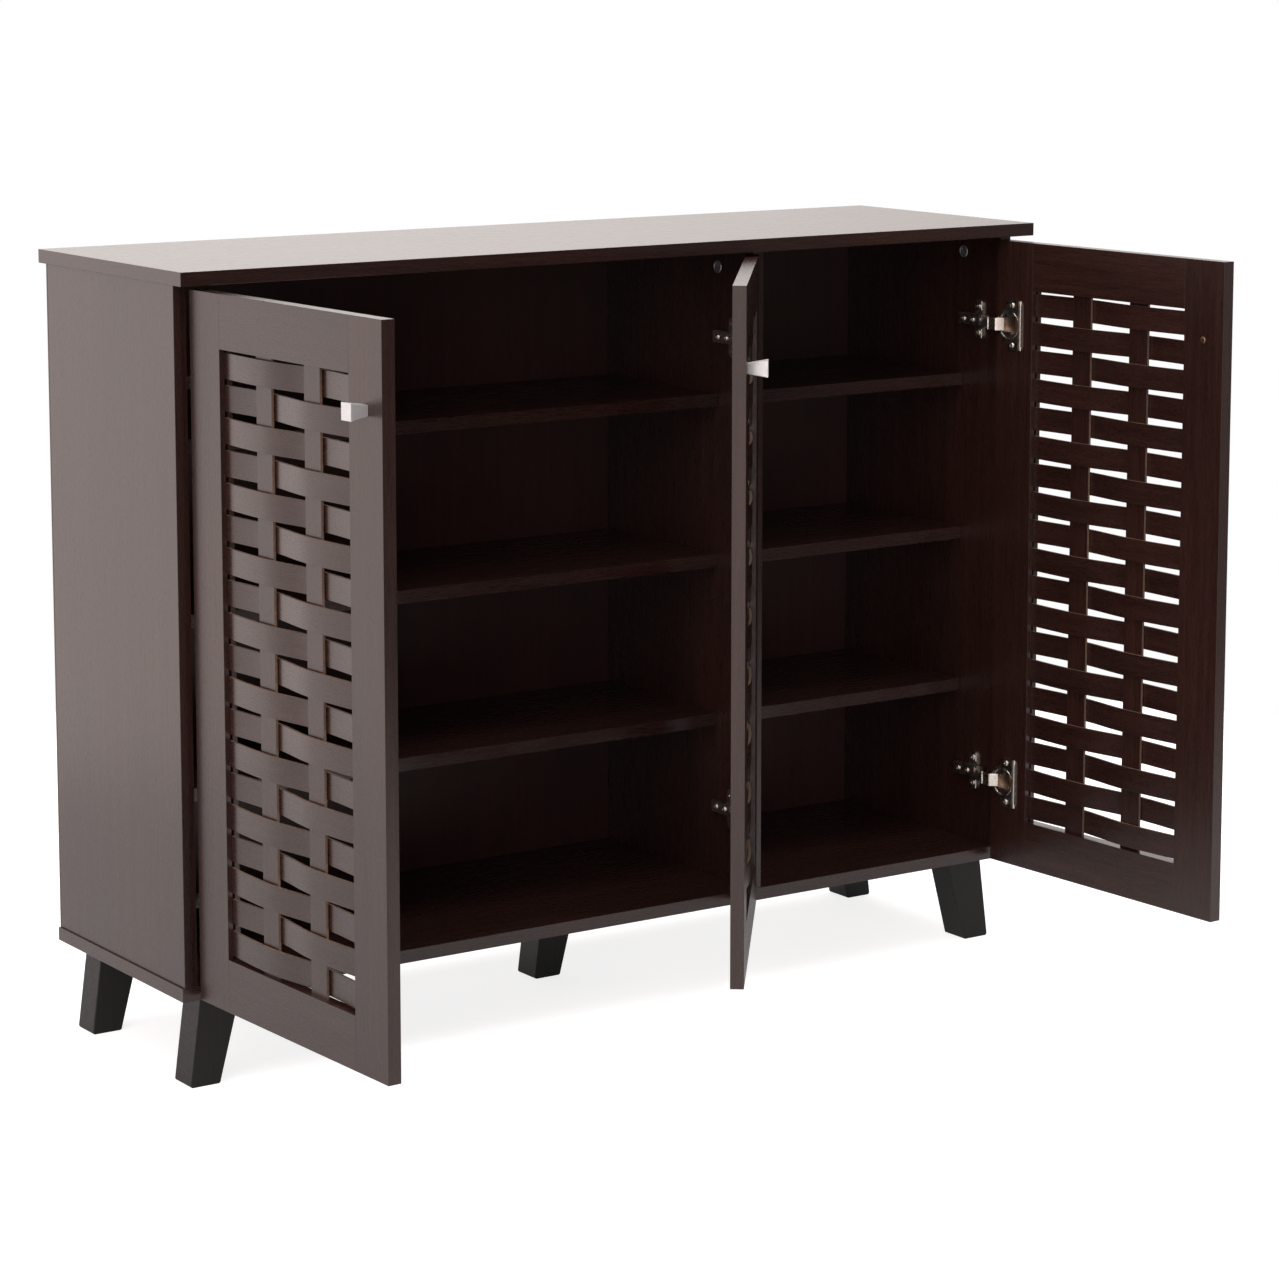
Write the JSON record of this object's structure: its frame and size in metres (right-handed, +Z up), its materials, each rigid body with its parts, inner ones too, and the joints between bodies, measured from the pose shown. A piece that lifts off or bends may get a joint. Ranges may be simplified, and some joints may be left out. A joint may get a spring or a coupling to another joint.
{
  "type": "three-door shoe cabinet",
  "caption": "Free-standing shoe cabinet in dark laminate with splayed legs, inner shelves, square knobs and framed doors woven from wide flat strips, stored with the doors open.",
  "frame": {"origin": "on the floor, at the middle of the box that encloses the cabinet as stored, with its doors open", "axes": "+X to the right as seen from in front, along the width; +Y back from the doors towards the back panels; +Z up"},
  "size_m": [1.1544, 0.6872, 0.88],
  "materials": {
    "carcass": "dark, finely flecked wood-grain laminate with a dull satin sheen",
    "back_panel": "the carcass laminate on thin board, a little duller",
    "door_frame": "the carcass laminate, its grain along each stile and rail",
    "slat": "thin bent strips in the same dark finish, grain along the strip",
    "leg": "black satin paint",
    "hinge": "nickel-plated pressed steel, smooth and bright",
    "knob": "satin aluminium with small bevels",
    "cam_lock": "grey die-cast zinc",
    "zinc_steel": "zinc-plated steel",
    "door_screw": "yellow zinc plating",
    "dowel": "plain beech, hidden in its bores"
  },
  "bodies": {
    "carcass": {"top_panel": "carcass", "bottom_panel": "carcass", "left_side": "carcass", "right_side": "carcass", "partition": "carcass", "left_back_panel": "back_panel", "right_back_panel": "back_panel", "left_top_shelf": "carcass", "left_middle_shelf": "carcass", "left_bottom_shelf": "carcass", "right_top_shelf": "carcass", "right_middle_shelf": "carcass", "right_bottom_shelf": "carcass", "shelf_pins": "hinge", "cam_locks": "cam_lock", "cam_bolts": "zinc_steel", "top_dowels": "dowel", "base_screws": "zinc_steel", "front_left_leg": "leg", "front_right_leg": "leg", "rear_left_leg": "leg", "rear_right_leg": "leg", "centre_leg": "leg", "leg_bolts": "zinc_steel", "hinge_plates": "hinge", "hinge_plate_screws": "hinge", "full_overlay_arms": "hinge", "half_overlay_arms": "hinge", "arm_screws": "hinge"},
    "left_door": {"left_hinge_stile": "door_frame", "left_latch_stile": "door_frame", "left_top_rail": "door_frame", "left_bottom_rail": "door_frame", "left_cross_slats": "slat", "left_upright_slats": "slat", "left_hinge_cups": "hinge", "left_knob": "knob", "left_door_screws": "door_screw"},
    "left_links": {"left_hinge_links": "hinge"},
    "middle_door": {"middle_hinge_stile": "door_frame", "middle_latch_stile": "door_frame", "middle_top_rail": "door_frame", "middle_bottom_rail": "door_frame", "middle_cross_slats": "slat", "middle_upright_slats": "slat", "middle_hinge_cups": "hinge", "middle_knob": "knob", "middle_door_screws": "door_screw"},
    "middle_links": {"middle_hinge_links": "hinge"},
    "right_door": {"right_hinge_stile": "door_frame", "right_latch_stile": "door_frame", "right_top_rail": "door_frame", "right_bottom_rail": "door_frame", "right_cross_slats": "slat", "right_upright_slats": "slat", "right_hinge_cups": "hinge", "right_knob": "knob", "right_door_screws": "door_screw"},
    "right_links": {"right_hinge_links": "hinge"}
  },
  "joints": [
    {"name": "left_door_hinge", "type": "hinge", "parent": "carcass", "child": "left_door", "pos_m": [-0.55847, 0.01807, 0.49], "axis": [0, 0, -1], "range_deg": [-88, 17]},
    {"name": "left_link_turn", "type": "hinge", "parent": "carcass", "child": "left_links", "pos_m": [-0.53495, 0.03717, 0.49], "axis": [0, 0, 1], "range_deg": [-61.6, 11.9]},
    {"name": "middle_door_hinge", "type": "hinge", "parent": "carcass", "child": "middle_door", "pos_m": [0.16648, 0.01807, 0.49], "axis": [0, 0, 1], "range_deg": [-52, 53]},
    {"name": "middle_link_turn", "type": "hinge", "parent": "carcass", "child": "middle_links", "pos_m": [0.14295, 0.03717, 0.49], "axis": [0, 0, -1], "range_deg": [-36.4, 37.1]},
    {"name": "right_door_hinge", "type": "hinge", "parent": "carcass", "child": "right_door", "pos_m": [0.53998, 0.01807, 0.49], "axis": [0, 0, 1], "range_deg": [-93, 12]},
    {"name": "right_link_turn", "type": "hinge", "parent": "carcass", "child": "right_links", "pos_m": [0.51645, 0.03717, 0.49], "axis": [0, 0, -1], "range_deg": [-65.1, 8.4]}
  ],
  "couplings": [
    {"joint": "left_link_turn", "follows": "left_door_hinge", "ratio": 0.7},
    {"joint": "middle_link_turn", "follows": "middle_door_hinge", "ratio": 0.7},
    {"joint": "right_link_turn", "follows": "right_door_hinge", "ratio": 0.7}
  ]
}
